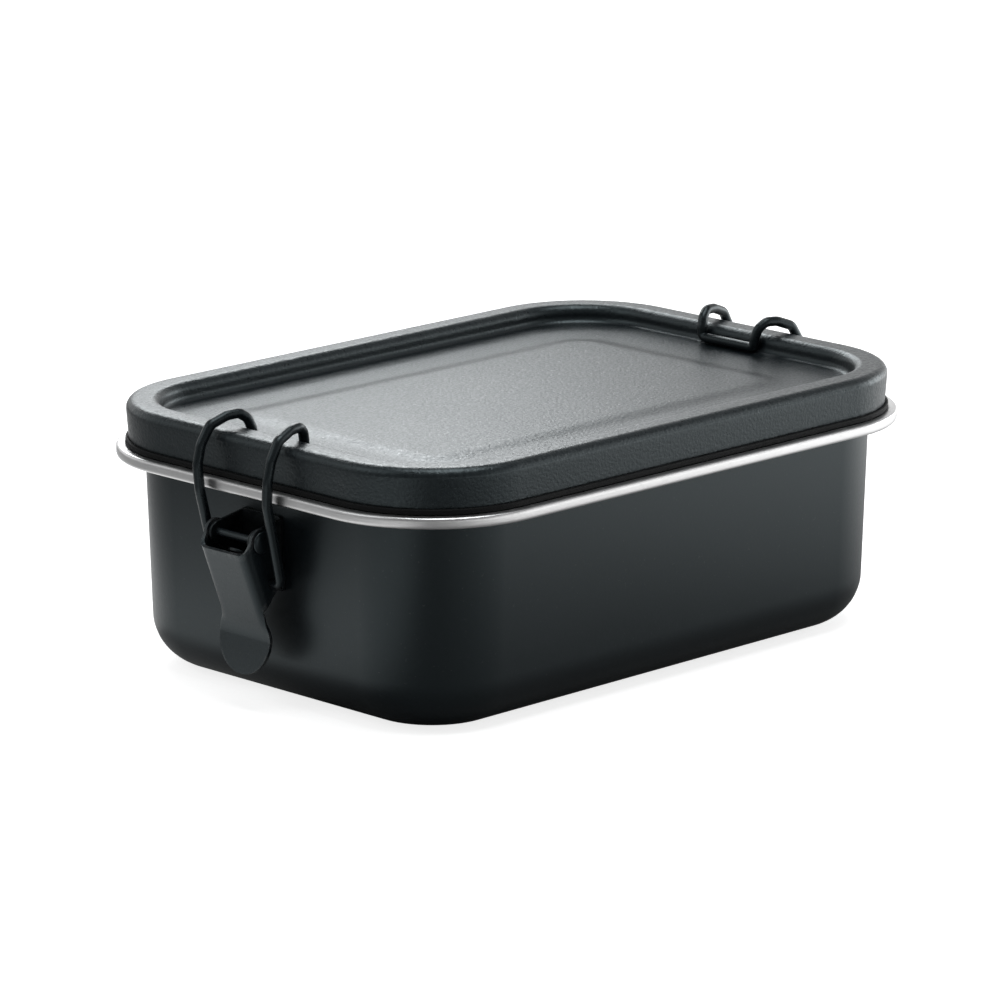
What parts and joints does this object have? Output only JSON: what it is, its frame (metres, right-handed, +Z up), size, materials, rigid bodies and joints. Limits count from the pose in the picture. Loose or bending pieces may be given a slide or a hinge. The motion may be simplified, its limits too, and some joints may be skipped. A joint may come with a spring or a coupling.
{
  "type": "lunch box",
  "caption": "Rounded rectangular metal lunch box with a recessed press-fit lid, a bare rolled rim and a lever latch with a wire bail at each end.",
  "frame": {"origin": "centre of the tub's flat base, on the surface it stands on", "axes": "+X along the length through both latches, +Y across the width, +Z up"},
  "size_m": [0.1818, 0.12, 0.0662],
  "materials": {
    "tub_coat": "fine black powder coat, bare steel inside and on the rim",
    "lid_coat": "fine black powder coat",
    "latch_metal": "satin black coat with bare cut edges",
    "wire_metal": "satin black coat",
    "silicone": "matt black silicone"
  },
  "bodies": {
    "tub": {"tub": "tub_coat", "left_bracket": "latch_metal", "left_pin": "latch_metal", "right_bracket": "latch_metal", "right_pin": "latch_metal"},
    "lid": {"lid": "lid_coat", "lid_seal": "silicone"},
    "left_lever": {"left_lever": "latch_metal"},
    "left_bail": {"left_bail": "wire_metal"},
    "right_lever": {"right_lever": "latch_metal"},
    "right_bail": {"right_bail": "wire_metal"}
  },
  "joints": [
    {"name": "lid_lift", "type": "slide", "parent": "tub", "child": "lid", "axis": [0, 0, 1], "range_m": [0, 0.06]},
    {"name": "left_lever_turn", "type": "hinge", "parent": "tub", "child": "left_lever", "pos_m": [-0.0859, 0, 0.0402], "axis": [0, 1, 0], "range_deg": [0, 150], "deforming": ["left_bail"]},
    {"name": "left_bail_swing", "type": "hinge", "parent": "left_lever", "child": "left_bail", "pos_m": [-0.0826, 0, 0.0303], "axis": [0, 1, 0], "range_deg": [-210, 0]},
    {"name": "right_lever_turn", "type": "hinge", "parent": "tub", "child": "right_lever", "pos_m": [0.0859, 0, 0.0402], "axis": [0, -1, 0], "range_deg": [0, 150], "deforming": ["right_bail"]},
    {"name": "right_bail_swing", "type": "hinge", "parent": "right_lever", "child": "right_bail", "pos_m": [0.0826, 0, 0.0303], "axis": [0, -1, 0], "range_deg": [-210, 0]}
  ],
  "couplings": [
    {"joint": "left_bail_swing", "follows": "left_lever_turn", "ratio": -1.4},
    {"joint": "right_bail_swing", "follows": "right_lever_turn", "ratio": -1.4}
  ]
}
